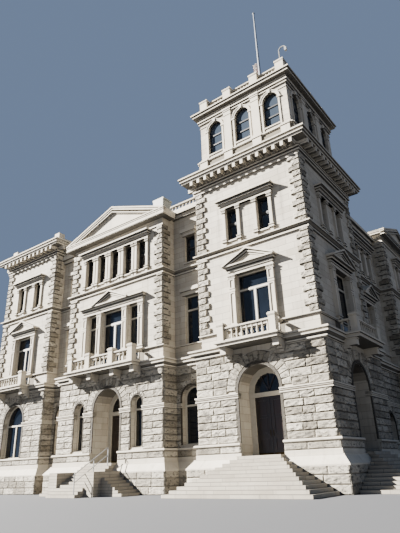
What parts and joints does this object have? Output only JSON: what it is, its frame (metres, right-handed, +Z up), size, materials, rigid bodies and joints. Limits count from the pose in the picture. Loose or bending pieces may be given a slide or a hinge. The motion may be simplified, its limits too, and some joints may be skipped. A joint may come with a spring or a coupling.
{
  "type": "courthouse",
  "caption": "Three-storey granite courthouse with a corner tower and belfry, arched doorways with hinged doors, balconies, pediments and a flagpole.",
  "frame": {"origin": "middle of the ground plan's bounding box, at ground level", "axes": "+Z up; the front faces -Y with the tower at its +X end; the shaded side faces +X"},
  "size_m": [35.3, 28.3, 37.7],
  "materials": {
    "granite": "rock-faced and tooled pale granite",
    "floor_stone": "plain",
    "door_wood": "dark varnished oak",
    "frame_paint": "painted",
    "window_glass": "clear",
    "pole_paint": "gloss",
    "lamp_metal": "satin",
    "rail_metal": "brushed",
    "flag_cloth": "woven nylon",
    "roof_metal": "standing-seam sheet"
  },
  "bodies": {
    "building": {"attic_walls": "granite", "balconies": "granite", "balustrades": "granite", "base_front_and_back": "granite", "base_sides": "granite", "belfry_cornice": "granite", "belfry_piers": "granite", "belfry_pilasters": "granite", "belfry_plinth": "granite", "belfry_walls": "granite", "centre_pediment": "granite", "centre_roof": "roof_metal", "centre_steps": "granite", "corner_lamp": "lamp_metal", "door_jambs": "frame_paint", "entrance_walls_left": "granite", "entrance_walls_right": "granite", "fanlight_frames": "frame_paint", "fanlight_glass": "window_glass", "flag": "flag_cloth", "flagpole": "pole_paint", "front_entrance_arches": "granite", "ground_floor": "floor_stone", "ground_pavilion_front_walls": "granite", "ground_pavilion_side_walls": "granite", "ground_recessed_walls": "granite", "handrail": "rail_metal", "left_parapet": "granite", "main_cornice": "granite", "modillions": "granite", "pavilion_cornices": "granite", "pedestals": "granite", "rear_gables": "granite", "recess_cornices": "granite", "roof_deck": "floor_stone", "second_floor": "floor_stone", "second_storey_surrounds": "granite", "side_entrance_arch": "granite", "string_courses": "granite", "third_floor": "floor_stone", "third_storey_surrounds": "granite", "tower_girders": "floor_stone", "tower_piers": "floor_stone", "tower_side_steps": "granite", "tower_steps": "granite", "upper_pavilion_front_walls": "granite", "upper_pavilion_side_walls": "granite", "upper_recessed_walls": "granite", "window_frames": "frame_paint", "window_glass": "window_glass"},
    "tower_door_left": {"tower_door_left": "door_wood"},
    "tower_door_right": {"tower_door_right": "door_wood"},
    "centre_door_left": {"centre_door_left": "door_wood"},
    "centre_door_right": {"centre_door_right": "door_wood"},
    "tower_side_door_left": {"tower_side_door_left": "door_wood"},
    "tower_side_door_right": {"tower_side_door_right": "door_wood"}
  },
  "joints": [
    {"name": "tower_left_hinge", "type": "hinge", "parent": "building", "child": "tower_door_left", "pos_m": [8.905, -9.27, 1.83], "axis": [0, 0, 1], "range_deg": [0, 90]},
    {"name": "tower_right_hinge", "type": "hinge", "parent": "building", "child": "tower_door_right", "pos_m": [10.795, -9.27, 1.83], "axis": [0, 0, -1], "range_deg": [0, 90]},
    {"name": "centre_left_hinge", "type": "hinge", "parent": "building", "child": "centre_door_left", "pos_m": [-2.77, -9.27, 1.83], "axis": [0, 0, 1], "range_deg": [0, 90]},
    {"name": "centre_right_hinge", "type": "hinge", "parent": "building", "child": "centre_door_right", "pos_m": [-0.88, -9.27, 1.83], "axis": [0, 0, -1], "range_deg": [0, 90]},
    {"name": "tower_side_left_hinge", "type": "hinge", "parent": "building", "child": "tower_side_door_left", "pos_m": [12.845, -7.22, 1.83], "axis": [0, 0, 1], "range_deg": [0, 90]},
    {"name": "tower_side_right_hinge", "type": "hinge", "parent": "building", "child": "tower_side_door_right", "pos_m": [12.845, -5.33, 1.83], "axis": [0, 0, -1], "range_deg": [0, 90]}
  ]
}
